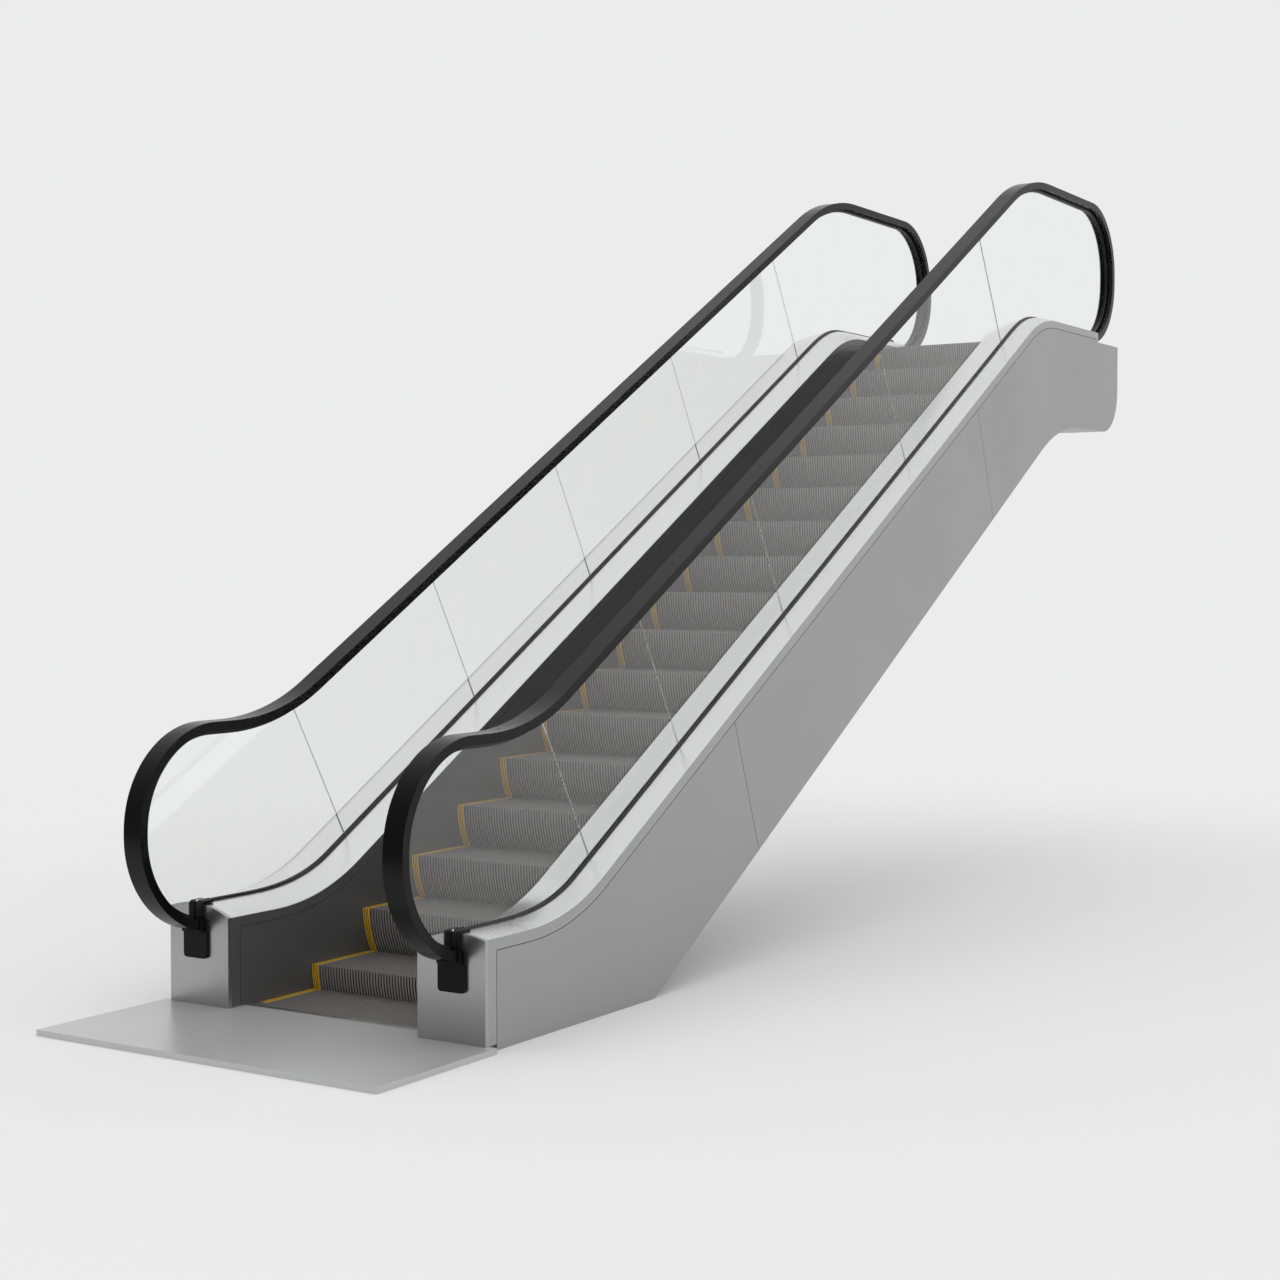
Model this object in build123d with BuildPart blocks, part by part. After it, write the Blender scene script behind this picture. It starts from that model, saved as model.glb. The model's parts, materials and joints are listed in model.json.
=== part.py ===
from build123d import *
from math import cos, radians, sin, sqrt, tan
import os

os.makedirs("parts", exist_ok=True)

# Escalator between two floors, in millimetres. +X runs up the flight, +Z is up.
# The origin is on the ground, in the middle, under the front face of the lower newels.
# The right side (-Y) is on the right hand of someone going up.

# Flight
incline_deg = 30.0
rise = 3300.0
skirt_gap = 1000.0
overall_width = 1660.0
floor_t = 25.0

# Steps
step_pitch = 400.0
tread_gap = 4.0
side_gap = 4.0
tread_drop = 4.0
riser_sweep_deg = 36.0
tread_edge_t = 25.0
first_nosing_x = 518.0
step_corner_x = 331.0
step_bend_r = 500.0
step_rest = 0.3
edge_strip_w = 34.0

# Landings
lower_plate_front = 700.0
lower_plate_overhang = 40.0
lower_comb_x = 187.0
comb_depth = 90.0
comb_tip_t = 6.0
comb_gap = 0.3
upper_landing_len = 844.0
upper_deck_setback = 370.0

# Balustrade base
newel_h = 408.0
upper_deck_h = 60.0
deck_over_nosing = 269.0
deck_bend_r_low = 1050.0
deck_bend_r_high = 850.0
deck_camber_low = 21.0
deck_camber_mid = -8.0
deck_camber_high = 29.0
deck_inner_drop = 30.0
deck_edge_t = 4.0
end_cap_t = 20.0
sheet_t = 6.0
skirt_t = 4.0
trim_h = 42.0
skirt_trim_h = 40.0
trim_front_w = 72.0
bend_sections = 8
seam = 3.0
panel_joint_x = (1905.0, 4690.0)
panel_joint_lean_deg = 20.5

# Underside
belly_under_nosing = 533.0
belly_bend_r = 1300.0
upper_end_depth = 570.0
upper_end_r = 270.0

# Glass and handrail
glass_off_middle = 10.0
glass_t = 12.0
glass_foot_drop = 23.0
glass_joint = 4.0
seal_gap = 0.3
glass_joint_x_right = (940.0, 1670.0, 2665.0, 4065.0, 5400.0)
glass_joint_x_left = (945.0, 1940.0, 2980.0, 4140.0, 5350.0)
gasket_w = 24.0
gasket_h = 9.0
rail_w = 96.0
rail_t = 40.0
rail_skin = 12.0
rail_lip_t = 8.0
rail_mouth_w = 46.0
rail_wall = 12.0
rail_over_nosing = 1114.0
rail_over_lower_floor = 1190.0
rail_over_upper_floor = 933.0
rail_bend_r_low = 1045.0
rail_bend_r_high = 1200.0
loop_r = 430.0
lower_loop_straight = 20.0
upper_loop_straight = 50.0
lower_loop_reach = 366.0
upper_loop_reach = 605.0
guide_gap = 0.3
guide_flange_t = 9.0
guide_stem_w = 28.0
guide_stem_t = 16.0
guide_bite = 6.0

# Handrail inlets
collar_len = 34.0
collar_wall = 7.0
collar_end_t = 5.0
inlet_plate_w = 130.0
inlet_plate_t = 14.0
inlet_plate_drop = 119.0
inlet_plate_r = 16.0
hook_w = 80.0
hook_over = 60.0
hook_top = 10.0
hook_r = 20.0

# Derived lines of the flight
slope = tan(radians(incline_deg))
lean = cos(radians(incline_deg))
half_gap = skirt_gap / 2
half_width = overall_width / 2
glass_line = (half_gap + half_width) / 2 + glass_off_middle
upper_floor = floor_t + rise
tread_low = floor_t - tread_drop
tread_high = upper_floor - tread_drop
nosing_line = tread_low - step_corner_x * slope
deck_low = floor_t + newel_h
deck_high = upper_floor + upper_deck_h
deck_line = nosing_line + deck_over_nosing
rail_low = floor_t + rail_over_lower_floor
rail_high = upper_floor + rail_over_upper_floor
rail_line = nosing_line + rail_over_nosing
belly_flat = upper_floor - upper_end_depth
belly_line = nosing_line - belly_under_nosing
step_corner_high_x = (tread_high - nosing_line) / slope
step_bend_tangent = step_bend_r * tan(radians(incline_deg / 2))
upper_comb_x = step_corner_high_x + step_bend_tangent
end_x = upper_comb_x + upper_landing_len
deck_end_x = end_x - upper_deck_setback
core_end_x = deck_end_x - end_cap_t
lower_loop_start_x = loop_r + lower_loop_straight - lower_loop_reach
lower_inlet_z = rail_low - 2 * loop_r - lower_loop_straight
upper_inlet_z = rail_high - 2 * loop_r - upper_loop_straight
loop_run = loop_r - lower_loop_reach + collar_len / 2
lower_collar_z = lower_inlet_z + loop_r - sqrt(loop_r**2 - loop_run**2)
cover_under = deck_inner_drop + deck_edge_t
sides = {"right": -1, "left": 1}


def line_x(line, z):
    """Where the inclined line that crosses x=0 at height line reaches height z."""
    return (z - line) / slope


def incline_corners(low, line, high, r_low, r_high, drop=0.0):
    """The two bends of an S-shaped edge, moved down square to itself by drop."""
    z_low, z_high, z_line = low - drop, high - drop, line - drop / lean
    return [
        ((line_x(z_line, z_low), z_low), r_low + drop),
        ((line_x(z_line, z_high), z_high), r_high - drop),
    ]


def deck_corners(drop=0.0):
    """Bends of the outer deck edge, or of a line below it."""
    return incline_corners(deck_low, deck_line, deck_high, deck_bend_r_low, deck_bend_r_high, drop)


def nosing_corners(shift_x=0.0, shift_z=0.0):
    """Bends of the path that the step nosings follow, moved as a whole."""
    corners = incline_corners(tread_low, nosing_line, tread_high, step_bend_r, step_bend_r)
    return [((p[0] + shift_x, p[1] + shift_z), r) for p, r in corners]


def rail_corners(inset=0.0, end_gap=0.0):
    """Handrail path from inside the lower newel round the flight to the upper inlet, moved inwards."""
    front = -lower_loop_reach + inset
    back = deck_end_x + upper_loop_reach - inset
    bends = incline_corners(rail_low, rail_line, rail_high, rail_bend_r_low, rail_bend_r_high, inset)
    turn_r = loop_r - inset
    return (
        [((lower_loop_start_x, lower_inlet_z + inset), 0.0)]
        + [((front, lower_inlet_z + inset), turn_r), ((front, rail_low - inset), turn_r)]
        + bends
        + [((back, rail_high - inset), turn_r), ((back, upper_inlet_z + inset), turn_r)]
        + [((deck_end_x + collar_end_t - end_gap, upper_inlet_z + inset), 0.0)]
    )


def belly_corners(lift=0.0):
    """Underside from the upper end back to the ground, moved up into the body by lift."""
    z_line, z_flat = belly_line + lift / lean, belly_flat + lift
    return [
        ((end_x - lift, z_flat), upper_end_r - lift),
        ((line_x(z_line, z_flat), z_flat), belly_bend_r + lift),
    ]


def face_of(corners, mode=Mode.ADD):
    """Closed face through corners, each rounded by its own radius."""
    with BuildLine() as outline:
        FilletPolyline(*[p for p, r in corners], radius=[r for p, r in corners], close=True)
    make_face(outline.edges(), mode=mode)


def plate(corners, y_from, y_to, cuts=()):
    """Solid with the given XZ outline between two Y planes, less the outlines in cuts."""
    with BuildPart() as made:
        with BuildSketch(Plane.XZ.offset(-y_to)):
            face_of(corners)
            for cut in cuts:
                face_of(cut, mode=Mode.SUBTRACT)
        extrude(amount=y_to - y_from)
    return made.part


def side_span(side, inner, outer):
    """Y range of a piece between two distances from the middle, on one side."""
    return (inner, outer) if side > 0 else (-outer, -inner)


def save(name, part):
    """Name a finished piece and write its file."""
    part.label = name
    export_step(part, f"parts/{name}.step")


def body_corners(drop, lift, front, inset_end):
    """Side view of the balustrade base under the deck line, down to the ground or underside."""
    ground_x = line_x(belly_line + lift / lean, 0.0)
    return (
        [((front, 0.0), 0.0), ((front, deck_low - drop), 0.0)]
        + deck_corners(drop)
        + [((deck_end_x - inset_end, deck_high - drop), 0.0)]
    ), belly_corners(lift) + [((ground_x, 0.0), 0.0)]


# Lower floor plate: out in front of the newels, and between them up to the comb
comb_start_low = lower_comb_x - comb_depth
plate_half = half_width + lower_plate_overhang
with BuildPart() as lower_floor_plate:
    with BuildSketch():
        with Locations(((end_cap_t - lower_plate_front) / 2, 0)):
            Rectangle(end_cap_t + lower_plate_front, 2 * plate_half)
        with Locations((comb_start_low / 2, 0)):
            Rectangle(comb_start_low, skirt_gap)
    extrude(amount=floor_t)
save("lower_floor_plate", lower_floor_plate.part)

# Upper floor plate: between the deck ends, then the full width up to the end
with BuildPart() as upper_floor_plate:
    comb_end_high = upper_comb_x + comb_depth
    with BuildSketch(Plane.XY.offset(upper_floor - floor_t)):
        with Locations(((comb_end_high + end_x - sheet_t) / 2, 0)):
            Rectangle(end_x - sheet_t - comb_end_high, skirt_gap)
        with Locations(((deck_end_x + end_x - sheet_t) / 2, 0)):
            Rectangle(end_x - sheet_t - deck_end_x, overall_width - 2 * sheet_t)
    extrude(amount=floor_t)
save("upper_floor_plate", upper_floor_plate.part)

# Comb plates: thin wedges between the floor plates and the steps
lower_comb = plate(
    [
        ((comb_start_low, 0.0), 0.0),
        ((comb_start_low, floor_t), 0.0),
        ((lower_comb_x, tread_low + comb_tip_t / 2), 0.0),
        ((lower_comb_x, 0.0), 0.0),
    ],
    -half_gap,
    half_gap,
)
save("lower_comb", lower_comb)
upper_comb = plate(
    [
        ((upper_comb_x, upper_floor - floor_t), 0.0),
        ((upper_comb_x, tread_high + comb_tip_t / 2), 0.0),
        ((upper_comb_x + comb_depth, upper_floor), 0.0),
        ((upper_comb_x + comb_depth, upper_floor - floor_t), 0.0),
    ],
    -half_gap,
    half_gap,
)
save("upper_comb", upper_comb)

# Steps: flat treads, one chain pitch apart, each with a curved riser about its own back edge
tread_depth = step_pitch - tread_gap
riser_foot = (
    tread_depth * (1 - cos(radians(riser_sweep_deg))),
    -tread_depth * sin(radians(riser_sweep_deg)),
)
bend_in = step_corner_x - step_bend_tangent
bend_out = step_corner_x + step_bend_tangent * lean
top_in = step_corner_high_x - step_bend_tangent * lean


def nosing_z(x):
    """Height of the nosing path at x."""
    if x <= bend_in:
        return tread_low
    if x < bend_out:
        return tread_low + step_bend_r - sqrt(step_bend_r**2 - (x - bend_in) ** 2)
    if x <= top_in:
        return nosing_line + x * slope
    if x < upper_comb_x:
        return tread_high - step_bend_r + sqrt(step_bend_r**2 - (upper_comb_x - x) ** 2)
    return tread_high


def next_nosing(x, direction):
    """The nosing one chain pitch up (1) or down (-1) the path, found by halving."""
    near, far = x, x + direction * step_pitch
    for _ in range(60):
        middle = (near + far) / 2
        reach = sqrt((middle - x) ** 2 + (nosing_z(middle) - nosing_z(x)) ** 2)
        if reach < step_pitch:
            near = middle
        else:
            far = middle
    return (near + far) / 2


nosings = [first_nosing_x]
while nosings[0] + tread_depth > lower_comb_x + tread_depth / 4:
    nosings.insert(0, next_nosing(nosings[0], -1))
nosings.pop(0)
while nosings[-1] < upper_comb_x - tread_depth / 4:
    nosings.append(next_nosing(nosings[-1], 1))
nosings.pop()


def step_row(y_from, y_to):
    """The same slice of every step between two Y planes, ending at the combs and the base pan."""
    with BuildPart() as row:
        for x in nosings:
            z = nosing_z(x)
            with BuildSketch(Plane.XZ.offset(-y_to)):
                with BuildLine():
                    half = radians(riser_sweep_deg / 2)
                    riser_middle = (
                        x + tread_depth * (1 - cos(half)),
                        z - tread_depth * sin(half),
                    )
                    foot = (x + riser_foot[0], z + riser_foot[1])
                    ThreePointArc((x, z), riser_middle, foot)
                    Line(foot, (x + tread_depth, z - tread_edge_t))
                    Line((x + tread_depth, z - tread_edge_t), (x + tread_depth, z))
                    Line((x + tread_depth, z), (x, z))
                make_face()
                room = upper_comb_x - lower_comb_x - 2 * comb_gap
                with Locations(((upper_comb_x + lower_comb_x) / 2, sheet_t + upper_floor / 2)):
                    Rectangle(room, upper_floor, mode=Mode.INTERSECT)
            extrude(amount=y_to - y_from)
    return row.part


step_half = half_gap - side_gap
strip_inner = step_half - edge_strip_w
save("steps", step_row(-strip_inner, strip_inner))
for side_name, side in sides.items():
    save(f"step_edge_strips_{side_name}", step_row(*side_span(side, strip_inner, step_half)))

# Base pan under the lowest steps, and the closed truss under the flight
inner_belly_line = belly_line + sheet_t / lean
base_pan = plate(
    [
        ((lower_comb_x, 0.0), 0.0),
        ((lower_comb_x, sheet_t), 0.0),
        ((line_x(inner_belly_line, sheet_t), sheet_t), 0.0),
        ((line_x(inner_belly_line, 0.0), 0.0), 0.0),
    ],
    -half_gap,
    half_gap,
)
save("base_pan", base_pan)

rest_bends = nosing_corners(riser_foot[0], riser_foot[1] - step_rest)
rest_line = rest_bends[0][0][1] - rest_bends[0][0][0] * slope
rest_top = rest_bends[1][0][1]
pit_wall_x = rest_bends[1][0][0] + step_bend_tangent + seam
truss = plate(
    [((line_x(rest_line, sheet_t), sheet_t), 0.0), rest_bends[1]]
    + [((pit_wall_x, rest_top), 0.0), ((pit_wall_x, upper_floor - floor_t), 0.0)]
    + [((end_x - sheet_t, upper_floor - floor_t), 0.0)]
    + belly_corners(sheet_t)
    + [((line_x(inner_belly_line, sheet_t), sheet_t), 0.0)],
    -half_gap,
    half_gap,
)
save("truss", truss)

# Underside: the inclined soffit, and the end panel round the upper end
soffit_seam_x = line_x(belly_line, belly_flat) + belly_bend_r * tan(radians(incline_deg / 2))
soffit_seam_x = soffit_seam_x + sheet_t
cover_half = half_width - sheet_t
outer_belly, inner_belly = belly_corners(), belly_corners(sheet_t)
soffit = plate(
    [((line_x(inner_belly_line, 0.0), 0.0), 0.0), ((line_x(belly_line, 0.0), 0.0), 0.0)]
    + [outer_belly[1], ((soffit_seam_x, belly_flat), 0.0)]
    + [((soffit_seam_x, belly_flat + sheet_t), 0.0), inner_belly[1]],
    -cover_half,
    cover_half,
)
save("soffit", soffit)
end_panel = plate(
    [((soffit_seam_x, belly_flat), 0.0), outer_belly[0], ((end_x, upper_floor), 0.0)]
    + [((end_x - sheet_t, upper_floor), 0.0), inner_belly[0]]
    + [((soffit_seam_x, belly_flat + sheet_t), 0.0)],
    -cover_half,
    cover_half,
)
save("end_panel", end_panel)


def base_outline(drop, lift, front, inset_end, inset_tail):
    """Closed side view of the balustrade base, stepping down behind the deck end."""
    top, bottom = body_corners(drop, lift, front, inset_end)
    tail = [((deck_end_x - inset_end, upper_floor - inset_tail), 0.0)]
    tail = tail + [((end_x - lift, upper_floor - inset_tail), 0.0)]
    return top + tail + bottom


core_outline = base_outline(cover_under, sheet_t, end_cap_t, end_cap_t, floor_t)
panel_outline = base_outline(trim_h + seam, 0.0, trim_front_w + seam, end_cap_t, 0.0)
skirt_top_drop = cover_under + skirt_trim_h + seam
skirt_outline = base_outline(skirt_top_drop, sheet_t, trim_front_w + seam, end_cap_t, floor_t)
joint_tilt = tan(radians(panel_joint_lean_deg))


def band_between(x_low, x_high, gap):
    """Leaning strip between two panel joints, less half a seam at each."""

    def at(x, z, shift):
        return (x + shift - (z - deck_line - x * slope) * joint_tilt, z)

    reach = 2 * rise
    return [
        (at(x_low, reach, gap / 2), 0.0),
        (at(x_high, reach, -gap / 2), 0.0),
        (at(x_high, -reach, -gap / 2), 0.0),
        (at(x_low, -reach, gap / 2), 0.0),
    ]


def cladding_panel(x_low, x_high, y_from, y_to):
    """One outer side panel, cut from the whole side by its two joints."""
    with BuildPart() as made:
        with BuildSketch(Plane.XZ.offset(-y_to)):
            face_of(panel_outline)
            face_of(band_between(x_low, x_high, seam), mode=Mode.INTERSECT)
        extrude(amount=y_to - y_from)
    return made.part


def trim_strip(y_from, y_to, top_drop, foot_drop):
    """Border strip along the top edge and down the front of one side."""
    outer = [((end_cap_t, floor_t), 0.0), ((end_cap_t, deck_low - top_drop), 0.0)]
    outer = outer + deck_corners(top_drop) + [((core_end_x, deck_high - top_drop), 0.0)]
    inner = [((core_end_x, deck_high - foot_drop), 0.0)] + deck_corners(foot_drop)[::-1]
    inner = inner + [((trim_front_w, deck_low - foot_drop), 0.0), ((trim_front_w, floor_t), 0.0)]
    return plate(outer + inner, y_from, y_to)


def skirt_panels(side):
    """The skirt panel, and the strip above it and in front of it."""
    span = side_span(side, half_gap, half_gap + skirt_t)
    with BuildPart() as made:
        add(plate(skirt_outline, *span))
        add(trim_strip(*span, cover_under, cover_under + skirt_trim_h))
    return made.part


def deck_top(camber):
    """Height of the highest point of the cambered section above the outer deck edge."""
    in_y, in_z = half_gap - half_width, -deck_inner_drop
    mid_y, mid_z = glass_line - half_width, camber
    in_sq, mid_sq = in_y**2 + in_z**2, mid_y**2 + mid_z**2
    twist = 2 * (in_y * mid_z - mid_y * in_z)
    centre_y = (in_sq * mid_z - mid_sq * in_z) / twist
    centre_z = (in_y * mid_sq - mid_y * in_sq) / twist
    return centre_z + sqrt(centre_y**2 + centre_z**2)


def deck_face(camber, y_from, y_to):
    """Cambered deck section between two distances from the middle, flat underneath."""
    with BuildLine() as outline:
        ThreePointArc((half_gap, -deck_inner_drop), (glass_line, camber), (half_width, 0))
        Line((half_width, 0), (half_width, -cover_under))
        Line((half_width, -cover_under), (half_gap, -cover_under))
        Line((half_gap, -cover_under), (half_gap, -deck_inner_drop))
    make_face(outline.edges())
    with Locations(((y_from + y_to) / 2, 0)):
        Rectangle(y_to - y_from, 4 * newel_h, mode=Mode.INTERSECT)


def gasket_face(camber):
    """U-shaped gasket section that grips the foot of the glass."""
    top = camber + gasket_h
    slot_side, side_y = glass_t / 2, gasket_w / 2
    with BuildLine() as outline:
        Polyline(
            (glass_line - side_y, -cover_under),
            (glass_line + side_y, -cover_under),
            (glass_line + side_y, top),
            (glass_line + slot_side, top),
            (glass_line + slot_side, -glass_foot_drop),
            (glass_line - slot_side, -glass_foot_drop),
            (glass_line - slot_side, top),
            (glass_line - side_y, top),
            close=True,
        )
    make_face(outline.edges())


crest_low = deck_low + deck_top(deck_camber_low)
crest_high = deck_high + deck_top(deck_camber_high)


def station(x, z, angle_deg):
    """Section plane across the deck line at a point where it climbs at that angle."""
    climb = radians(angle_deg)
    return Plane(origin=(x, 0, z), x_dir=(0, 1, 0), z_dir=(cos(climb), 0, sin(climb)))


def deck_zones(start_x, end_x_level):
    """The deck line in five runs, each a list of section planes with their camber."""
    (low_x, _), low_r = deck_corners()[0]
    (high_x, _), high_r = deck_corners()[1]
    low_centre_x = low_x - low_r * tan(radians(incline_deg / 2))
    high_centre_x = high_x + high_r * tan(radians(incline_deg / 2))
    low_bend, high_bend = [], []
    for k in range(bend_sections + 1):
        share = k / bend_sections
        ease = share * share * (3 - 2 * share)
        up = radians(incline_deg * share)
        x, z = low_centre_x + low_r * sin(up), deck_low + low_r * (1 - cos(up))
        camber = deck_camber_low + (deck_camber_mid - deck_camber_low) * ease
        low_bend.append((station(x, z, incline_deg * share), camber))
        x, z = high_centre_x - high_r * sin(up), deck_high - high_r * (1 - cos(up))
        camber = deck_camber_high + (deck_camber_mid - deck_camber_high) * ease
        high_bend.insert(0, (station(x, z, incline_deg * share), camber))
    return [
        [(station(start_x, deck_low, 0), deck_camber_low), low_bend[0]],
        low_bend,
        [low_bend[-1], high_bend[0]],
        high_bend,
        [high_bend[-1], (station(end_x_level, deck_high, 0), deck_camber_high)],
    ]


def along_deck(side, start_x, end_x_level, draw):
    """Solid that follows the deck line with the section that draw gives for each camber."""
    with BuildPart() as made:
        for zone in deck_zones(start_x, end_x_level):
            for plane, camber in zone:
                with BuildSketch(plane):
                    draw(camber)
            loft()
    return made.part if side > 0 else made.part.mirror(Plane.XZ)


def end_cap(side, x_from, z_foot, deck_z, camber):
    """Newel end plate with the arched top of the deck."""
    with BuildPart() as made:
        with BuildSketch(Plane(origin=(x_from, 0, deck_z), x_dir=(0, 1, 0), z_dir=(1, 0, 0))):
            with BuildLine():
                ThreePointArc((half_gap, -deck_inner_drop), (glass_line, camber), (half_width, 0))
                Line((half_width, 0), (half_width, z_foot - deck_z))
                Line((half_width, z_foot - deck_z), (half_gap, z_foot - deck_z))
                Line((half_gap, z_foot - deck_z), (half_gap, -deck_inner_drop))
            make_face()
        extrude(amount=end_cap_t)
    return made.part if side > 0 else made.part.mirror(Plane.XZ)


def hook_height(crest_z, rail_z):
    """Top of an inlet's hook, above the deck end and above the collar."""
    return max(crest_z, rail_z + rail_t + collar_wall) + hook_top


def inlet(face_x, out, rail_z, z_foot, crest_z, y_mid):
    """Black inlet that the handrail end runs into: face plate, collar and hook over the deck end."""
    rail_mid = rail_z + rail_t / 2
    collar_h = rail_t + 2 * collar_wall
    plate_foot = max(z_foot, rail_z - inlet_plate_drop)
    plate_top = rail_mid + collar_h / 2
    front, back = face_x + out * inlet_plate_t, face_x - out * hook_over
    hook_z = hook_height(crest_z, rail_z)
    round_r = min(hook_r, (hook_z - rail_mid) / 2)
    hook_corners = [
        ((face_x, rail_mid), 0.0),
        ((front, rail_mid), 0.0),
        ((front, hook_z), round_r),
        ((back, hook_z), 0.0),
        ((back, crest_z), 0.0),
        ((face_x, crest_z), 0.0),
    ]

    def box(length, width, z0, z1):
        with Locations((face_x + out * length / 2, y_mid, (z0 + z1) / 2)):
            Box(length, width, z1 - z0)

    with BuildPart() as made:
        box(inlet_plate_t, inlet_plate_w, plate_foot, plate_top)
        low_corners = made.edges().filter_by(Axis.X).group_by(Axis.Z)[0]
        corner_r = min(inlet_plate_r, (rail_z - collar_wall - plate_foot) / 2)
        fillet(low_corners, radius=corner_r)
        box(collar_len, rail_w + 2 * collar_wall, rail_mid - collar_h / 2, plate_top)
        add(plate(hook_corners, y_mid - hook_w / 2, y_mid + hook_w / 2))
        slot_w = rail_w + 2 * guide_gap
        slot = inset_band(-guide_gap, rail_t + guide_gap, y_mid, slot_w, guide_gap)
        add(slot, mode=Mode.SUBTRACT)
        with Locations((face_x + out * collar_len / 2, y_mid, (plate_top + hook_z) / 2)):
            Box(collar_len, glass_t + 2 * guide_gap, hook_z - plate_top, mode=Mode.SUBTRACT)
    return made.part


def below_deck(x):
    """The region behind x and under the lower deck line, where the handrail loop is left off."""
    return [
        ((x, 0.0), 0.0),
        ((x, deck_low), 0.0),
        ((2 * lower_loop_start_x, deck_low), 0.0),
        ((2 * lower_loop_start_x, 0.0), 0.0),
    ]


def inset_band(outer_inset, inner_inset, y_mid, width, end_gap=0.0):
    """Strip that follows the handrail path between two insets, longer by end_gap at its ends."""
    corners = rail_corners(outer_inset, end_gap) + rail_corners(inner_inset, end_gap)[::-1]
    cuts = [below_deck(end_gap - collar_end_t)]
    return plate(corners, y_mid - width / 2, y_mid + width / 2, cuts)


def handrail(y_mid):
    """C-section handrail: a skin, two side walls and two lips that turn in round the guide."""
    with BuildPart() as made:
        add(inset_band(0.0, rail_t, y_mid, rail_w))
        add(
            inset_band(rail_skin, rail_t - rail_lip_t, y_mid, rail_w - 2 * rail_wall),
            mode=Mode.SUBTRACT,
        )
        add(inset_band(rail_t - rail_lip_t, rail_t, y_mid, rail_mouth_w), mode=Mode.SUBTRACT)
    return made.part


glass_inset = rail_t + guide_stem_t - guide_bite


def handrail_guide(y_mid):
    """T-section guide inside the handrail, with a channel that grips the glass edge."""
    flange_in = rail_skin + guide_gap
    flange_w = rail_w - 2 * rail_wall - 2 * guide_gap
    flange_foot, stem_foot = flange_in + guide_flange_t, rail_t + guide_stem_t
    end_gap = collar_end_t - collar_len - seam
    with BuildPart() as made:
        add(inset_band(flange_in, flange_foot, y_mid, flange_w, end_gap))
        add(inset_band(flange_foot, stem_foot, y_mid, guide_stem_w, end_gap))
        add(inset_band(glass_inset, stem_foot, y_mid, glass_t), mode=Mode.SUBTRACT)
    return made.part


def joint_strip(x, width):
    """Thin strip square to the incline, for a joint in the glass at x on the deck line."""
    z = deck_line + x * slope
    up, back = 2 * rail_over_nosing, rail_over_nosing
    wide = width / lean / 2
    return [
        ((x - wide + back * slope, z - back), 0.0),
        ((x + wide + back * slope, z - back), 0.0),
        ((x + wide - up * slope, z + up), 0.0),
        ((x - wide - up * slope, z + up), 0.0),
    ]


def glass_sheet(y_mid, thick, joints):
    """Sheet from the deck to the handrail guide, round both newel loops, cut at its joints."""
    seat = glass_foot_drop
    loop = rail_corners(glass_inset)
    loop[-1] = ((deck_end_x + seam, loop[-1][0][1]), 0.0)
    hook_z_low = hook_height(crest_low, lower_collar_z) + seam
    hook_z_high = hook_height(crest_high, upper_inlet_z) + seam
    seat_corners = deck_corners(seat)
    closing = [
        ((deck_end_x + seam, hook_z_high), 0.0),
        ((deck_end_x - hook_over - seam, hook_z_high), 0.0),
        ((deck_end_x - hook_over - seam, deck_high - seat), 0.0),
        seat_corners[1],
        seat_corners[0],
        ((lower_loop_start_x, deck_low - seat), 0.0),
    ]
    inlet_notch = [
        ((-seam, 0.0), 0.0),
        ((-seam, hook_z_low), 0.0),
        ((hook_over + seam, hook_z_low), 0.0),
        ((hook_over + seam, deck_low - seat), 0.0),
        ((2 * lower_loop_start_x, deck_low - seat), 0.0),
        ((2 * lower_loop_start_x, 0.0), 0.0),
    ]
    cuts = [inlet_notch] + [joint_strip(x, glass_joint) for x in joints]
    return plate(loop + closing, y_mid - thick / 2, y_mid + thick / 2, cuts)


def glass_seals(y_mid, joints):
    """Flexible seals in the joints between the glass panels."""
    seal_w, seal_t = glass_joint - 2 * seal_gap, glass_t - 2 * seal_gap
    with BuildPart() as strips:
        for x in joints:
            add(plate(joint_strip(x, seal_w), y_mid - glass_t, y_mid + glass_t))
    with BuildPart() as made:
        add(glass_sheet(y_mid, seal_t, []))
        add(strips.part, mode=Mode.INTERSECT)
    return made.part


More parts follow.
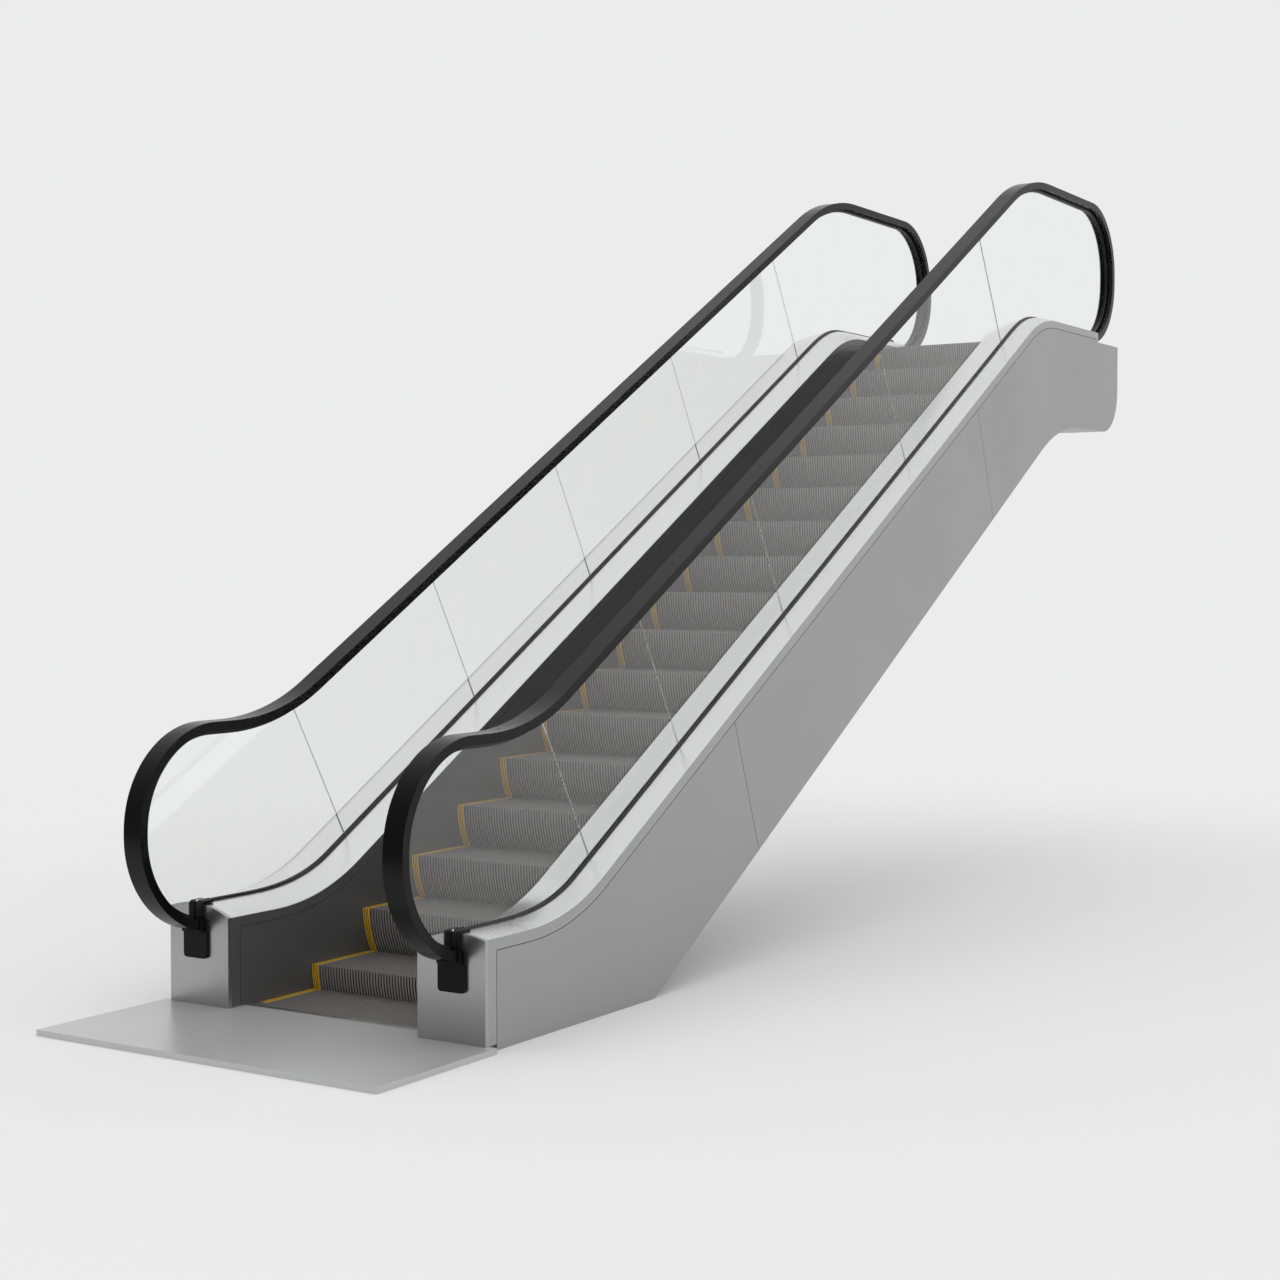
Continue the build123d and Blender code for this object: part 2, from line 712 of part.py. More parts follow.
joints_of = {"right": glass_joint_x_right, "left": glass_joint_x_left}
for side_name, side in sides.items():
    y_mid = side * glass_line
    save(f"skirt_{side_name}", skirt_panels(side))
    core_span = side_span(side, half_gap + skirt_t, half_width - sheet_t)
    save(f"balustrade_base_{side_name}", plate(core_outline, *core_span))
    sheet_span = side_span(side, half_width - sheet_t, half_width)
    ends = (end_cap_t - rise, *panel_joint_x, end_x + 2 * rise)
    for number, (x_low, x_high) in enumerate(zip(ends, ends[1:]), start=1):
        panel = cladding_panel(x_low, x_high, *sheet_span)
        save(f"cladding_{side_name}_{number}", panel)
    save(f"deck_trim_{side_name}", trim_strip(*sheet_span, 0.0, trim_h))
    gap_from, gap_to = glass_line - gasket_w / 2, glass_line + gasket_w / 2
    inner_cover = along_deck(
        side, end_cap_t, core_end_x, lambda camber: deck_face(camber, half_gap, gap_from)
    )
    save(f"deck_cover_inner_{side_name}", inner_cover)
    outer_cover = along_deck(
        side, end_cap_t, core_end_x, lambda camber: deck_face(camber, gap_to, half_width - sheet_t)
    )
    save(f"deck_cover_outer_{side_name}", outer_cover)
    low_cap = end_cap(side, 0.0, floor_t, deck_low, deck_camber_low)
    save(f"newel_cap_lower_{side_name}", low_cap)
    high_cap = end_cap(side, core_end_x, upper_floor, deck_high, deck_camber_high)
    save(f"newel_cap_upper_{side_name}", high_cap)
    lower_in = inlet(0.0, -1, lower_collar_z, floor_t, crest_low, y_mid)
    save(f"handrail_inlet_lower_{side_name}", lower_in)
    upper_in = inlet(deck_end_x, 1, upper_inlet_z, upper_floor, crest_high, y_mid)
    save(f"handrail_inlet_upper_{side_name}", upper_in)
    joints = joints_of[side_name]
    save(f"glass_{side_name}", glass_sheet(y_mid, glass_t, joints))
    save(f"glass_seals_{side_name}", glass_seals(y_mid, joints))
    gasket_start, gasket_stop = hook_over + seam, deck_end_x - hook_over - seam
    gasket = along_deck(side, gasket_start, gasket_stop, gasket_face)
    save(f"glass_gasket_{side_name}", gasket)
    save(f"handrail_{side_name}", handrail(y_mid))
    save(f"handrail_guide_{side_name}", handrail_guide(y_mid))
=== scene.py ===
import json
from math import pi, radians

import bmesh
import bpy
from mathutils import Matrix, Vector


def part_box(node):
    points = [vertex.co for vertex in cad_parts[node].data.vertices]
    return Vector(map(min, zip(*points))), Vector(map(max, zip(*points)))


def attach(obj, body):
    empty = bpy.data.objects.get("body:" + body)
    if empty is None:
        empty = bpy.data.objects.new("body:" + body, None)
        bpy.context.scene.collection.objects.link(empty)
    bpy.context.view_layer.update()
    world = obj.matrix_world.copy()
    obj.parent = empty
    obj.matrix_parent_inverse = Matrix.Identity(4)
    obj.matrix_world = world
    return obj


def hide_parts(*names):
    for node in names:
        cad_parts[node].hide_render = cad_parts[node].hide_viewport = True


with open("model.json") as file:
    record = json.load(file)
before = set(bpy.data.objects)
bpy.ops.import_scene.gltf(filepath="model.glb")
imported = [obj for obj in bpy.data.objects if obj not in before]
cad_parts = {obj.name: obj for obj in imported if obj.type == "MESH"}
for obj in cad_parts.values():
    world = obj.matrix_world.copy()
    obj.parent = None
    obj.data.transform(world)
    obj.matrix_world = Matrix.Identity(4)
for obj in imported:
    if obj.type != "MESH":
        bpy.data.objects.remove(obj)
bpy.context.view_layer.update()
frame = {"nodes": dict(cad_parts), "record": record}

# Metres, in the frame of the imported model: +X up the flight, +Z up, ground at z = 0
nodes = frame["nodes"]
scene = bpy.context.scene
SIDES = ("right", "left")
ENDS = ("lower", "upper")

# Camera, found by matching the straight edges of the object in the photograph
CAMERA_PLACE = (-6.3816, -5.5647, 1.8544)
CAMERA_YAW_DEG = 32.304
CAMERA_PITCH_DEG = 1.930
CAMERA_LENS_MM = 58.63
SENSOR_MM = 36.0

# Background and light: plain white light on the object, and the pale background where it is seen
BACKGROUND = 0.838
BACKGROUND_BLUE = 1.004
WORLD_LIGHT = 0.86
SKY_LAMP_TILT = (-0.22, -0.30, 1.0)
SKY_LAMP_SPREAD_DEG = 90.0

# What polished metal mirrors: a side that darkens towards -X, between two X of the direction
DARK_SIDE = 0.16
DARK_UP_TO_X = -0.85
PALE_FROM_X = 0.25

# Floor, which fades out with the distance from a point under the flight
FLOOR_COLOUR = 0.80
FLOOR_REACH = 60.0
FLOOR_MIDDLE = (3.0, 0.0, 0.0)
FLOOR_FADE_START = 4.5
FLOOR_FADE_END = 9.0

# Step ribs and comb teeth
RIB_PITCH = 0.0155
RIB_DEPTH = 0.007
EDGE_RIB_PITCH = 0.0085
EDGE_RIB_DEPTH = 0.006
# How far the painted groove shade reaches onto the walls of the ribs
STRIPE_LAP = 0.01
TREAD_DROP = 0.004
COMB_ROOT = 0.030
TOOTH_SIDE_GAP = 0.0012
TOOTH_TIP_HEIGHT = 0.002

# Which faces of a step carry ribs, by their outward direction: the tread and most of the front
TREAD_MIN_UP = 0.7
FRONT_MAX_X = -0.3
FRONT_MIN_UP = -0.75

# Widths of the softened edges
CAP_EDGE = 0.003
HANDRAIL_EDGE = 0.0035
DECK_EDGE = 0.002
TRIM_EDGE = 0.0025
SOFT_SEGMENTS = 2
SOFT_ANGLE_DEG = 40

# Distances under which corners count as the same, or as lying in one face, and an edge as nothing
SAME_CORNER = 1e-6
SAME_CORNER_DIGITS = 6
SAME_FACE = 1e-5
NO_LENGTH = 1e-9

# Textures: how noise is drawn out, its usual range, its scale in slow blotches, and the height of
# brushing and of moulded grain
ALONG = (3.0, 900.0, 900.0)
UPRIGHT = (700.0, 700.0, 4.0)
ACROSS = (900.0, 3.0, 900.0)
SMOOTH = (8.0, 8.0, 8.0)
EVEN = (1.0, 1.0, 1.0)
NOISE_LOW, NOISE_HIGH = 0.3, 0.7
METAL_BLOTCHES = 1.7
MOULDED_BLOTCHES = 6.0
MOULDED_ROUGH_SPREAD = 0.04
BRUSHING_HEIGHT = 0.001
GRAIN_HEIGHT = 0.0005

# Glass
GLASS_COLOUR = (0.988, 0.992, 0.991)
GLASS_COLOUR_SPREAD = 0.004
GLASS_CLOUDS = 3.0
GLASS_SHADOW_COLOUR = (0.94, 0.95, 0.95)
GLASS_IOR = 1.45
GLASS_SPECULAR = 0.3


# Material helpers
def new_material(name):
    """A node material, its tree and its Principled shader, which is joined to the output."""
    mat = bpy.data.materials.new(name)
    mat.use_nodes = True
    tree = mat.node_tree
    return mat, tree, tree.nodes["Principled BSDF"]


def opaque(color):
    """A colour with full alpha."""
    return tuple(color) + (1.0,)


def add_node(tree, kind, **settings):
    """A node of that kind with its settings and input values."""
    node = tree.nodes.new(kind)
    for key, value in settings.items():
        if key in node.inputs:
            node.inputs[key].default_value = value
        else:
            setattr(node, key, value)
    return node


def maths(tree, operation, *values):
    """The result of a maths node whose inputs are sockets or numbers."""
    node = add_node(tree, "ShaderNodeMath", operation=operation)
    for value, socket in zip(values, node.inputs):
        if isinstance(value, bpy.types.NodeSocket):
            tree.links.new(value, socket)
        else:
            socket.default_value = value
    return node.outputs["Value"]


def map_range(tree, source, start, end, low=0.0, high=1.0, kind="LINEAR"):
    """Maps a source between start and end onto low..high."""
    node = add_node(tree, "ShaderNodeMapRange", interpolation_type=kind)
    node.inputs["From Min"].default_value = start
    node.inputs["From Max"].default_value = end
    node.inputs["To Min"].default_value = low
    node.inputs["To Max"].default_value = high
    tree.links.new(source, node.inputs["Value"])
    return node.outputs["Result"]


def axis(tree, coordinates, letter):
    """One axis of the texture coordinates of that kind."""
    place = add_node(tree, "ShaderNodeTexCoord")
    axes = add_node(tree, "ShaderNodeSeparateXYZ")
    tree.links.new(place.outputs[coordinates], axes.inputs["Vector"])
    return axes.outputs[letter]


def blend(tree, share, first, second):
    """The first shader where share is 0 and the second where it is 1."""
    mix = add_node(tree, "ShaderNodeMixShader")
    for source, socket in zip((share, first, second), mix.inputs):
        tree.links.new(source, socket)
    return mix.outputs["Shader"]


def stretched_noise(tree, stretch, scale, detail=4.0, roughness=0.6):
    """Noise in the part's own metres, drawn out along an axis by stretch."""
    place = add_node(tree, "ShaderNodeTexCoord")
    mapping = add_node(tree, "ShaderNodeMapping")
    mapping.inputs["Scale"].default_value = stretch
    noise = add_node(tree, "ShaderNodeTexNoise", Scale=scale, Detail=detail, Roughness=roughness)
    tree.links.new(place.outputs["Object"], mapping.inputs["Vector"])
    tree.links.new(mapping.outputs["Vector"], noise.inputs["Vector"])
    return noise.outputs["Fac"]


def tint(tree, source, color, spread):
    """Colour that wanders by spread around color."""
    mix = add_node(tree, "ShaderNodeMix", data_type="RGBA")
    mix.inputs["A"].default_value = opaque(c * (1 - spread) for c in color)
    mix.inputs["B"].default_value = opaque(min(1.0, c * (1 + spread)) for c in color)
    tree.links.new(source, mix.inputs["Factor"])
    return mix.outputs["Result"]


def roughen(tree, shader, source, rough, spread):
    """Roughness that wanders by spread around rough."""
    wander = map_range(tree, source, NOISE_LOW, NOISE_HIGH, rough - spread, rough + spread)
    tree.links.new(wander, shader.inputs["Roughness"])


def emboss(tree, shader, source, strength, height):
    """Fine relief from a source."""
    bump = add_node(tree, "ShaderNodeBump", Strength=strength, Distance=height)
    tree.links.new(source, bump.inputs["Height"])
    tree.links.new(bump.outputs["Normal"], shader.inputs["Normal"])


def brushed(name, color, metallic, rough, stretch, spread=0.05, rough_spread=0.05, bump=0.02):
    """Brushed or rolled metal: fine streaks in colour and height, slow blotches in roughness."""
    mat, tree, shader = new_material(name)
    streaks = stretched_noise(tree, stretch, 1.0)
    blotches = stretched_noise(tree, EVEN, METAL_BLOTCHES, detail=2.0)
    tree.links.new(tint(tree, streaks, color, spread), shader.inputs["Base Color"])
    roughen(tree, shader, blotches, rough, rough_spread)
    shader.inputs["Metallic"].default_value = metallic
    emboss(tree, shader, streaks, bump, BRUSHING_HEIGHT)
    return mat


def moulded(name, color, rough, grain_scale, bump, spread=0.08, specular=0.5):
    """Rubber or plastic: a fine moulded grain, slow blotches in colour and roughness."""
    mat, tree, shader = new_material(name)
    grain = stretched_noise(tree, EVEN, grain_scale, detail=3.0)
    blotches = stretched_noise(tree, EVEN, MOULDED_BLOTCHES, detail=2.0)
    tree.links.new(tint(tree, blotches, color, spread), shader.inputs["Base Color"])
    roughen(tree, shader, blotches, rough, MOULDED_ROUGH_SPREAD)
    shader.inputs["Specular IOR Level"].default_value = specular
    emboss(tree, shader, grain, bump, GRAIN_HEIGHT)
    return mat


def clear_glass():
    """Clear float glass that lets the lamp's light through."""
    mat, tree, shader = new_material("balustrade_glass")
    clouds = stretched_noise(tree, EVEN, GLASS_CLOUDS, detail=2.0)
    color = tint(tree, clouds, GLASS_COLOUR, GLASS_COLOUR_SPREAD)
    tree.links.new(color, shader.inputs["Base Color"])
    shader.inputs["Roughness"].default_value = 0.0
    shader.inputs["IOR"].default_value = GLASS_IOR
    shader.inputs["Specular IOR Level"].default_value = GLASS_SPECULAR
    shader.inputs["Transmission Weight"].default_value = 1.0
    through = add_node(tree, "ShaderNodeBsdfTransparent", Color=opaque(GLASS_SHADOW_COLOUR))
    shadow_ray = add_node(tree, "ShaderNodeLightPath").outputs["Is Shadow Ray"]
    seen = blend(tree, shadow_ray, shader.outputs["BSDF"], through.outputs["BSDF"])
    tree.links.new(seen, tree.nodes["Material Output"].inputs["Surface"])
    return mat


def rib_count(width, pitch):
    """How many ribs at about that pitch fill a width."""
    return max(1, round(width / pitch))


def rib_width(width, pitch):
    """Width of a rib, and of a groove, when ribs at about that pitch fill a width."""
    return width / (2 * rib_count(width, pitch) - 1)


def paint_groove_shade(mat, node, pitch, groove_shade_color):
    """Paints shade on the floors and walls of the grooves of a ribbed piece, as a darker tone."""
    tree = mat.node_tree
    base = tree.nodes["Principled BSDF"].inputs["Base Color"]
    low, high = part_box(node)
    inner, outer = sorted((abs(low[1]), abs(high[1])))
    one_side = low[1] * high[1] > 0
    width = outer - inner if one_side else high[1] - low[1]
    period = 2 * rib_width(width, pitch)
    # A rib lies a quarter of a period to either side of its middle, less the lap for its walls
    quarter = 0.25
    inward = maths(tree, "SUBTRACT", outer, maths(tree, "ABSOLUTE", axis(tree, "Object", "Y")))
    share = maths(tree, "FRACT", maths(tree, "MULTIPLY_ADD", inward, 1 / period, quarter))
    off_rib = maths(tree, "ABSOLUTE", maths(tree, "SUBTRACT", share, 2 * quarter))
    # Where the painted groove shade goes: the groove floors and the rib walls
    groove = maths(tree, "GREATER_THAN", off_rib, quarter - STRIPE_LAP)
    mix = add_node(tree, "ShaderNodeMix", data_type="RGBA")
    mix.inputs["B"].default_value = opaque(groove_shade_color)
    tree.links.new(groove, mix.inputs["Factor"])
    tree.links.new(base.links[0].from_socket, mix.inputs["A"])
    tree.links.new(mix.outputs["Result"], base)


materials = {
    "deck": brushed("deck_steel", (0.80, 0.80, 0.80), metallic=1.0, rough=0.26,
                    stretch=ALONG, spread=0.02, rough_spread=0.02, bump=0.002),
    "newel_cap": brushed("newel_steel", (0.46, 0.46, 0.46), metallic=1.0, rough=0.30,
                         stretch=UPRIGHT, spread=0.04, rough_spread=0.03, bump=0.01),
    "deck_trim": brushed("trim_steel", (0.42, 0.42, 0.425), metallic=1.0, rough=0.38,
                         stretch=ALONG, spread=0.03, rough_spread=0.03, bump=0.005),
    "cladding": brushed("side_panel_metal", (0.40, 0.40, 0.405), metallic=1.0, rough=0.42,
                        stretch=ALONG, spread=0.03, rough_spread=0.03, bump=0.005),
    "skirt": brushed("skirt_steel", (0.125, 0.125, 0.127), metallic=0.4, rough=0.26,
                     stretch=ALONG, spread=0.05, rough_spread=0.01, bump=0.002),
    "floor_plate": brushed("floor_plate_steel", (0.49, 0.49, 0.492), metallic=0.25, rough=0.30,
                           stretch=ACROSS, spread=0.02, rough_spread=0.02, bump=0.005),
    "comb": brushed("comb_aluminium", (0.42, 0.42, 0.425), metallic=1.0, rough=0.42,
                    stretch=ALONG),
    "step": brushed("step_aluminium", (0.345, 0.335, 0.330), metallic=0.4, rough=0.5,
                    stretch=ALONG, spread=0.04, rough_spread=0.03, bump=0.01),
    "step_edge": moulded("edge_yellow", (0.95, 0.56, 0.035), rough=0.45,
                         grain_scale=900.0, bump=0.1),
    "base_pan": brushed("pan_paint", (0.05, 0.05, 0.052), metallic=0.0, rough=0.6,
                        stretch=ALONG, spread=0.08),
    "truss": brushed("body_paint", (0.07, 0.07, 0.072), metallic=0.0, rough=0.6,
                     stretch=ALONG, spread=0.08),
    "soffit": brushed("soffit_metal", (0.40, 0.40, 0.405), metallic=1.0, rough=0.45,
                      stretch=ALONG, spread=0.03),
    "inlet": moulded("inlet_plastic", (0.004, 0.004, 0.004), rough=0.5,
                     grain_scale=1200.0, bump=0.15, specular=0.2),
    "glass_seal": moulded("seal_silicone", (0.40, 0.40, 0.40), rough=0.5,
                          grain_scale=900.0, bump=0.05, spread=0.05, specular=0.3),
    "gasket": moulded("gasket_rubber", (0.010, 0.010, 0.010), rough=0.4,
                      grain_scale=900.0, bump=0.1),
    "handrail": moulded("handrail_rubber", (0.003, 0.003, 0.003), rough=0.26,
                        grain_scale=700.0, bump=0.04, specular=0.17),
    "guide": brushed("guide_steel", (0.012, 0.012, 0.012), metallic=0.2, rough=0.4,
                     stretch=SMOOTH, spread=0.04, rough_spread=0.03, bump=0.0),
    "glass": clear_glass(),
}
# Painted shade: the floors and walls of the rib grooves on the steps and the yellow edges take
# these darker colours
paint_groove_shade(materials["step"], "steps", RIB_PITCH, (0.130, 0.126, 0.124))
paint_groove_shade(materials["step_edge"], "step_edge_strips_left", EDGE_RIB_PITCH, (0.10, 0.055, 0.008))


def dress_cad_nodes():
    """Every CAD node takes the material of its slot."""
    for row in frame["record"]["subparts"]:
        node = nodes[row["node"]]
        node.data.materials.clear()
        node.data.materials.append(materials[row["material_slot"]])


def soften(node, width):
    """Rounds the sharp edges of a CAD node in the picture, without changing its mesh."""
    bevel = nodes[node].modifiers.new("edge", "BEVEL")
    bevel.width = width
    bevel.segments = SOFT_SEGMENTS
    bevel.limit_method = "ANGLE"
    bevel.angle_limit = radians(SOFT_ANGLE_DEG)
    bevel.harden_normals = True


# Pieces made of bars with an XZ profile
def finish_piece(work, name, slot, node=None):
    """Turns a bmesh into a named piece of its slot, which may stand for a CAD node."""
    bmesh.ops.recalc_face_normals(work, faces=work.faces)
    mesh = bpy.data.meshes.new(name)
    work.to_mesh(mesh)
    work.free()
    mesh.materials.append(materials[slot])
    piece = bpy.data.objects.new(name, mesh)
    scene.collection.objects.link(piece)
    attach(piece, "root")
    if node:
        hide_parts(node)


def ring(work, profile, y):
    """The vertices of an XZ profile in a plane across Y."""
    return [work.verts.new((x, y, z)) for x, z in profile]


def islands(mesh):
    """Connected groups of vertices of a mesh whose split corners are joined by place."""
    work = bmesh.new()
    work.from_mesh(mesh)
    bmesh.ops.remove_doubles(work, verts=work.verts, dist=SAME_CORNER)
    work.verts.ensure_lookup_table()
    groups, seen = [], set()
    for start in work.verts:
        if start in seen:
            continue
        group, stack = [], [start]
        seen.add(start)
        while stack:
            vert = stack.pop()
            group.append(vert)
            for edge in vert.link_edges:
                other = edge.other_vert(vert)
                if other not in seen:
                    seen.add(other)
                    stack.append(other)
        groups.append(group)
    return work, groups


def side_outline(group):
    """The XZ outline of an extruded solid, in order round its lowest-Y face, and its Y range."""
    y_low, y_high = min(v.co.y for v in group), max(v.co.y for v in group)
    flat = {v for v in group if v.co.y < y_low + SAME_FACE}
    after = {}
    for vert in flat:
        for edge in vert.link_edges:
            other = edge.other_vert(vert)
            flat_faces = sum(all(v in flat for v in f.verts) for f in edge.link_faces)
            if other in flat and flat_faces == 1:
                after.setdefault(vert, []).append(other)
    start = max(flat, key=lambda v: (v.co.x, v.co.z))
    loop, last = [start], None
    while True:
        here = loop[-1]
        step = [v for v in after[here] if v is not last][0]
        if step is start:
            break
        last = here
        loop.append(step)
    points = [(v.co.x, v.co.z) for v in loop]
    turn = sum(a[0] * b[1] - b[0] * a[1] for a, b in zip(points, points[1:] + points[:1]))
    return (points if turn > 0 else points[::-1]), y_low, y_high


def facing(a, b):
    """Outward direction of an outline edge that runs anticlockwise."""
    length = max(((b[0] - a[0]) ** 2 + (b[1] - a[1]) ** 2) ** 0.5, NO_LENGTH)
    return ((b[1] - a[1]) / length, -(b[0] - a[0]) / length)


def takes_ribs(normal):
    """Whether a face with that outward direction carries ribs."""
    x, up = normal
    return up > TREAD_MIN_UP or (x < FRONT_MAX_X and up > FRONT_MIN_UP)


def ribbed_faces(points, depth):
    """The outline with its top and front moved inwards by depth, where ribs are cut."""
    count = len(points)
    normals = [facing(points[k], points[(k + 1) % count]) for k in range(count)]
    ribbed = [takes_ribs(normal) for normal in normals]
    low = min(p[1] for p in points)
    moved = []
    for after, point in enumerate(points):
        before = (after - 1) % count
        shift = [0.0, 0.0]
        for edge in {before, after}:
            if ribbed[edge]:
                shift[0] -= normals[edge][0]
                shift[1] -= normals[edge][1]
        size = (shift[0] ** 2 + shift[1] ** 2) ** 0.5
        if size < SAME_CORNER:
            moved.append(point)
            continue
        bend = normals[before][0] * normals[after][0] + normals[before][1] * normals[after][1]
        both = ribbed[before] and ribbed[after]
        reach = depth * (2 / (1 + bend)) ** 0.5 if both else depth
        x = point[0] + shift[0] / size * reach
        z = max(point[1] + shift[1] / size * reach, low)
        moved.append((x, z))
    return moved


def ribbed_solid(work, points, y_low, y_high, pitch, depth):
    """One solid with ribs along its top and front, added to a bmesh."""
    inner = ribbed_faces(points, depth)
    land = rib_width(y_high - y_low, pitch)
    last = 2 * rib_count(y_high - y_low, pitch) - 2
    edges = [(n, (n + 1) % len(points)) for n in range(len(points))]
    y = y_low
    for k in range(last + 1):
        rib = k % 2 == 0
        profile = points if rib else inner
        near, far = ring(work, profile, y), ring(work, profile, y + land)
        for n, m in edges:
            work.faces.new((near[n], near[m], far[m], far[n]))
        if k == 0:
            work.faces.new(near[::-1])
        if k == last:
            work.faces.new(far)
            break
        y += land
        # The wall between this bar and the next, only where the two outlines part
        one, two = ring(work, points, y), ring(work, inner, y)
        for n, m in edges:
            corners = [one[n], one[m], two[m], two[n]]
            places = {tuple(round(c, SAME_CORNER_DIGITS) for c in v.co) for v in corners}
            if len(places) > 2:
                work.faces.new(corners if rib else corners[::-1])


def ribbed_copy(node, name, slot, pitch, depth):
    """A ribbed piece that stands for a CAD node of extruded solids."""
    source, groups = islands(nodes[node].data)
    made = bmesh.new()
    for group in groups:
        points, y_low, y_high = side_outline(group)
        ribbed_solid(made, points, y_low, y_high, pitch, depth)
    source.free()
    bmesh.ops.remove_doubles(made, verts=made.verts, dist=SAME_CORNER)
    finish_piece(made, name, slot, node)


def build_steps():
    """Ribbed steps and their yellow edges."""
    ribbed_copy("steps", "ribbed_steps", "step", RIB_PITCH, RIB_DEPTH)
    for side in SIDES:
        node = f"step_edge_strips_{side}"
        ribbed_copy(node, f"ribbed_edges_{side}", "step_edge", EDGE_RIB_PITCH, EDGE_RIB_DEPTH)


def prism(work, profile, y_from, y_to):
    """A closed bar with an XZ profile between two Y planes, added to a bmesh."""
    near, far = ring(work, profile, y_from), ring(work, profile, y_to)
    work.faces.new(near)
    work.faces.new(far[::-1])
    for k in range(len(profile)):
        m = (k + 1) % len(profile)
        work.faces.new((near[m], near[k], far[k], far[m]))


def build_comb(end):
    """Comb with pointed teeth that stand in the grooves of the steps' ribs."""
    node = f"{end}_comb"
    low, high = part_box(node)
    step_low, step_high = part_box("steps")
    tread_z = step_high[2] if end == "upper" else high[2] - TREAD_DROP
    groove_z = tread_z - RIB_DEPTH
    back, tip = (low[0], high[0]) if end == "lower" else (high[0], low[0])
    root = back + (COMB_ROOT if end == "lower" else -COMB_ROOT)
    foot, top, tip_top = low[2], high[2], groove_z + TOOTH_TIP_HEIGHT
    plate = [(back, foot), (root, foot), (root, top), (back, top)]
    tongue = [(root, foot), (tip, foot), (tip, groove_z), (root, groove_z)]
    edge_bar = [(root, groove_z), (tip, groove_z), (tip, tread_z), (root, top)]
    tooth = [(root, groove_z), (tip, groove_z), (tip, tip_top), (root, top)]
    rib = [(root, groove_z), (tip, groove_z), (tip, tread_z), (root, tread_z)]
    comb, ribs = bmesh.new(), bmesh.new()
    prism(comb, plate, low[1], high[1])
    prism(comb, tongue, low[1], high[1])
    prism(comb, edge_bar, low[1], step_low[1])
    prism(comb, edge_bar, step_high[1], high[1])
    land = rib_width(step_high[1] - step_low[1], RIB_PITCH)
    y = step_low[1]
    while y < step_high[1] - land / 2:
        prism(ribs, rib, y, y + land)
        y += land
        if y < step_high[1] - land:
            prism(comb, tooth, y + TOOTH_SIDE_GAP, y + land - TOOTH_SIDE_GAP)
            y += land
    finish_piece(comb, f"toothed_comb_{end}", "comb", node)
    finish_piece(ribs, f"ribs_between_teeth_{end}", "step")


# Surroundings
def build_floor():
    """Pale floor that keeps the shadow, fades into the background and is clear from below."""
    mesh = bpy.data.meshes.new("floor")
    reach = FLOOR_REACH
    corners = [(-reach, -reach, 0), (reach, -reach, 0), (reach, reach, 0), (-reach, reach, 0)]
    mesh.from_pydata(corners, [], [(0, 1, 2, 3)])
    floor = bpy.data.objects.new("floor", mesh)
    scene.collection.objects.link(floor)
    mat = bpy.data.materials.new("floor_paper")
    mat.use_nodes = True
    tree = mat.node_tree
    tree.nodes.clear()
    output = add_node(tree, "ShaderNodeOutputMaterial")
    paper = add_node(tree, "ShaderNodeBsdfDiffuse", Color=opaque([FLOOR_COLOUR] * 3))
    clear = add_node(tree, "ShaderNodeBsdfTransparent")
    place = add_node(tree, "ShaderNodeTexCoord")
    middle = add_node(tree, "ShaderNodeVectorMath", operation="DISTANCE")
    middle.inputs[1].default_value = FLOOR_MIDDLE
    tree.links.new(place.outputs["Object"], middle.inputs[0])
    away = middle.outputs["Value"]
    faded = map_range(tree, away, FLOOR_FADE_START, FLOOR_FADE_END, kind="SMOOTHSTEP")
    from_below = add_node(tree, "ShaderNodeNewGeometry").outputs["Backfacing"]
    unseen = maths(tree, "MAXIMUM", faded, from_below)
    surface = blend(tree, unseen, paper.outputs["BSDF"], clear.outputs["BSDF"])
    tree.links.new(surface, output.inputs["Surface"])
    mesh.materials.append(mat)


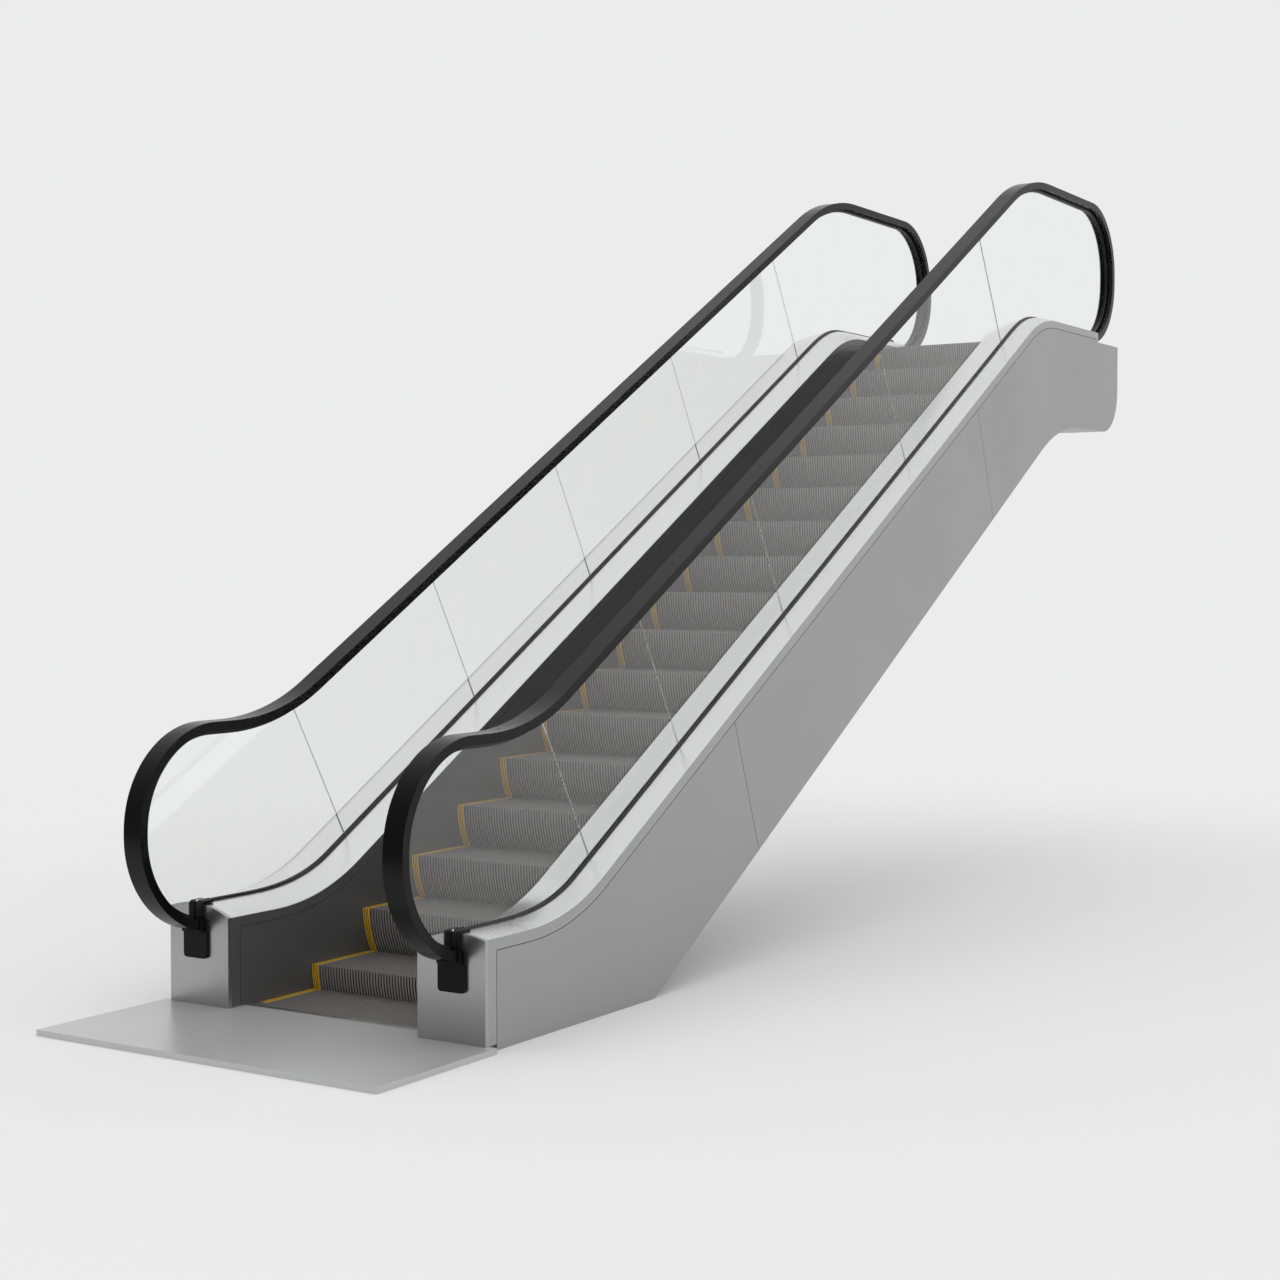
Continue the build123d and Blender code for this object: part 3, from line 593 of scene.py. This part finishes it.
def build_world():
    """Even studio light, with the pale background where the camera, metal and glass see it."""
    world = bpy.data.worlds.new("studio")
    scene.world = world
    world.use_nodes = True
    tree = world.node_tree
    tree.nodes.clear()
    output = add_node(tree, "ShaderNodeOutputWorld")
    white = opaque([1.0] * 3)
    pale = opaque([BACKGROUND, BACKGROUND, BACKGROUND * BACKGROUND_BLUE])
    light = add_node(tree, "ShaderNodeBackground", Color=white, Strength=WORLD_LIGHT)
    shown = add_node(tree, "ShaderNodeBackground", Color=pale, Strength=1.0)
    mirrored = add_node(tree, "ShaderNodeBackground", Strength=1.0)
    ahead = axis(tree, "Generated", "X")
    shade = map_range(tree, ahead, DARK_UP_TO_X, PALE_FROM_X, DARK_SIDE, BACKGROUND, "SMOOTHSTEP")
    tree.links.new(shade, mirrored.inputs["Color"])
    path = add_node(tree, "ShaderNodeLightPath").outputs
    seen = maths(tree, "MAXIMUM", path["Is Camera Ray"], path["Is Transmission Ray"])
    lit, mirror = light.outputs["Background"], mirrored.outputs["Background"]
    unseen = blend(tree, path["Is Glossy Ray"], lit, mirror)
    surface = blend(tree, seen, unseen, shown.outputs["Background"])
    tree.links.new(surface, output.inputs["Surface"])


def build_sky_lamp():
    """A broad lamp overhead that brings the floor up to the background's tone."""
    aim = Vector(SKY_LAMP_TILT).normalized()
    lamp = bpy.data.lights.new("sky_lamp", "SUN")
    lamp.angle = radians(SKY_LAMP_SPREAD_DEG)
    lamp.energy = pi * (BACKGROUND / FLOOR_COLOUR - WORLD_LIGHT) / aim.z
    holder = bpy.data.objects.new("sky_lamp", lamp)
    holder.rotation_euler = aim.to_track_quat("Z", "Y").to_euler()
    holder.visible_glossy = False
    scene.collection.objects.link(holder)


def build_camera():
    """Camera at the photograph's place."""
    lens = bpy.data.cameras.new("camera")
    lens.sensor_width = SENSOR_MM
    lens.lens = CAMERA_LENS_MM
    camera = bpy.data.objects.new("camera", lens)
    camera.location = CAMERA_PLACE
    turn = radians(CAMERA_YAW_DEG) - pi / 2
    camera.rotation_euler = (pi / 2 - radians(CAMERA_PITCH_DEG), 0.0, turn)
    scene.collection.objects.link(camera)
    scene.camera = camera


dress_cad_nodes()
build_steps()
for side in SIDES:
    for end in ENDS:
        soften(f"newel_cap_{end}_{side}", CAP_EDGE)
        soften(f"handrail_inlet_{end}_{side}", CAP_EDGE)
    soften(f"handrail_{side}", HANDRAIL_EDGE)
    soften(f"deck_cover_outer_{side}", DECK_EDGE)
    soften(f"deck_cover_inner_{side}", DECK_EDGE)
    soften(f"deck_trim_{side}", TRIM_EDGE)
soften("lower_floor_plate", CAP_EDGE)
for end in ENDS:
    build_comb(end)
build_floor()
build_world()
build_sky_lamp()
build_camera()
scene.view_settings.view_transform = "Standard"
